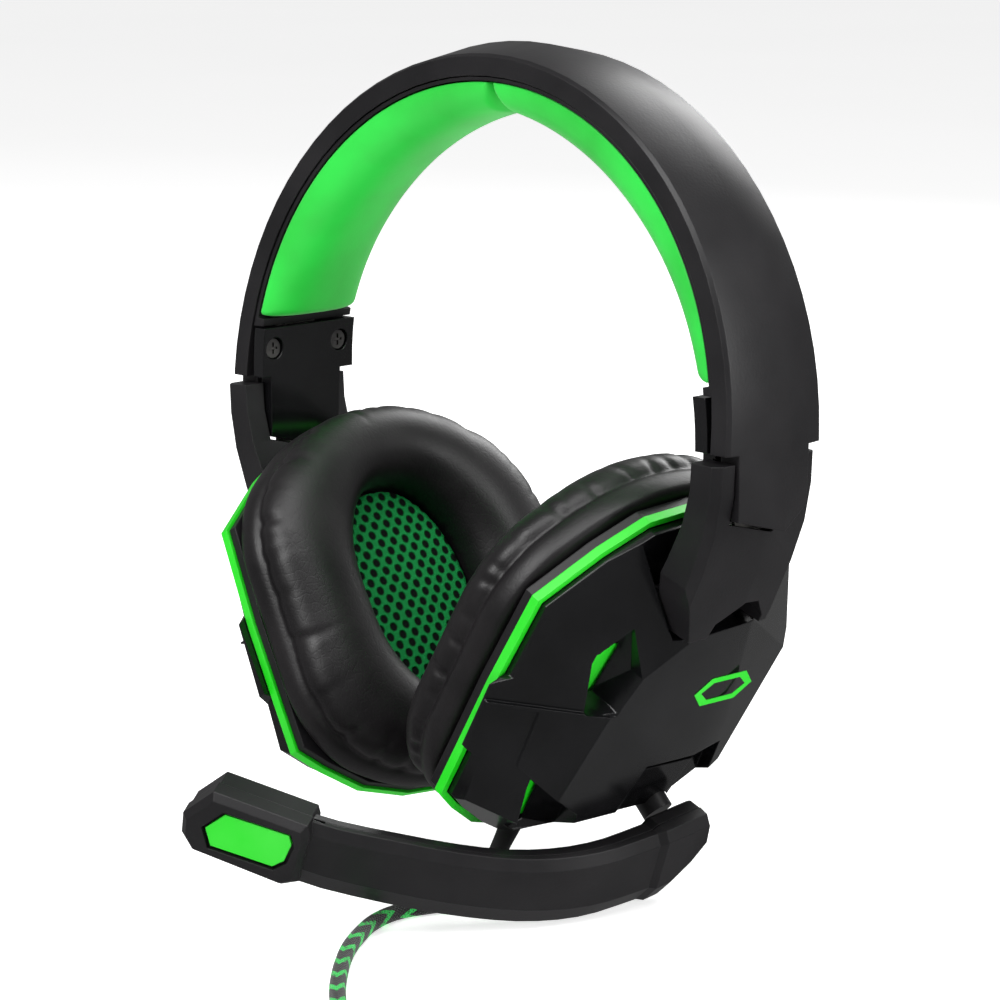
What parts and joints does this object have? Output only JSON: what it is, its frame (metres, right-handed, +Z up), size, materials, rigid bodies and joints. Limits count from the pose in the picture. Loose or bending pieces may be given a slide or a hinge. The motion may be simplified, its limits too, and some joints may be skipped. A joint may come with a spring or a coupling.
{
  "type": "gaming headset",
  "caption": "Over-ear headset with a padded arched headband, sliding yokes, tilting faceted ear cups, a swinging microphone boom and a braided lead.",
  "frame": {"origin": "on the surface it stands on, under the middle of everything but the lead", "axes": "+Z up along the headband's crown, +X to the wearer's left (the microphone's side), -Y to the wearer's front"},
  "size_m": [0.2453, 0.2561, 0.2245],
  "materials": {
    "matte_black": "fine matte moulding",
    "gloss_black": "glossy",
    "bright_green": "satin",
    "pad_green": "smooth soft padding",
    "leatherette": "soft, wrinkled leatherette",
    "mesh_green": "open air mesh",
    "dark_screw": "black screw",
    "steel": "plain",
    "circuit_board": "plain",
    "braid": "black braid with green flecks"
  },
  "bodies": {
    "left_cup": {"left_outer_cup": "gloss_black", "left_accent_insert": "bright_green", "left_ring_trim": "bright_green", "left_back_plate": "matte_black", "left_driver": "steel", "left_ear_cushion": "leatherette", "left_speaker_cloth": "mesh_green", "wiring_board": "circuit_board", "strain_relief": "matte_black", "cable": "braid", "cable_coil": "braid", "cable_tie": "matte_black", "plug_body": "matte_black", "plug_pin": "steel"},
    "left_yoke": {"left_yoke": "matte_black", "left_slider_strip": "steel", "left_pivot_pin_front": "steel", "left_pivot_pin_rear": "steel"},
    "headband": {"headband_outer_shell": "matte_black", "headband_inner_shell": "matte_black", "spring_band": "steel", "head_pad_left": "pad_green", "head_pad_right": "pad_green", "left_end_cover": "gloss_black", "left_end_screw_front": "dark_screw", "left_end_screw_rear": "dark_screw", "right_end_cover": "gloss_black", "right_end_screw_front": "dark_screw", "right_end_screw_rear": "dark_screw"},
    "right_yoke": {"right_yoke": "matte_black", "right_slider_strip": "steel", "right_pivot_pin_front": "steel", "right_pivot_pin_rear": "steel"},
    "right_cup": {"right_outer_cup": "gloss_black", "right_accent_insert": "bright_green", "right_ring_trim": "bright_green", "right_back_plate": "matte_black", "right_driver": "steel", "right_ear_cushion": "leatherette", "right_speaker_cloth": "mesh_green"},
    "mic_boom": {"mic_boom_outer_half": "matte_black", "mic_boom_inner_half": "matte_black", "mic_panel": "bright_green", "mic_capsule": "steel", "boom_pivot_shaft": "matte_black", "boom_pivot_washer": "steel", "boom_pivot_screw": "dark_screw"}
  },
  "joints": [
    {"name": "left_cup_tilt", "type": "hinge", "parent": "left_cup", "child": "left_yoke", "pos_m": [0.06532, 0.01967, 0.08925], "axis": [0, 1, 0], "range_deg": [0, 9]},
    {"name": "left_slide", "type": "slide", "parent": "left_yoke", "child": "headband", "axis": [0, 0, 1], "range_m": [0, 0.025]},
    {"name": "right_slide", "type": "slide", "parent": "headband", "child": "right_yoke", "axis": [0, 0, -1], "range_m": [0, 0.025]},
    {"name": "right_cup_tilt", "type": "hinge", "parent": "right_yoke", "child": "right_cup", "pos_m": [-0.06532, 0.01967, 0.08925], "axis": [0, 1, 0], "range_deg": [0, 9]},
    {"name": "mic_swing", "type": "hinge", "parent": "left_cup", "child": "mic_boom", "pos_m": [0.04178, 0.03817, 0.0227], "axis": [-0.6507, -0.0594, 0.757], "range_deg": [0, 60]}
  ]
}
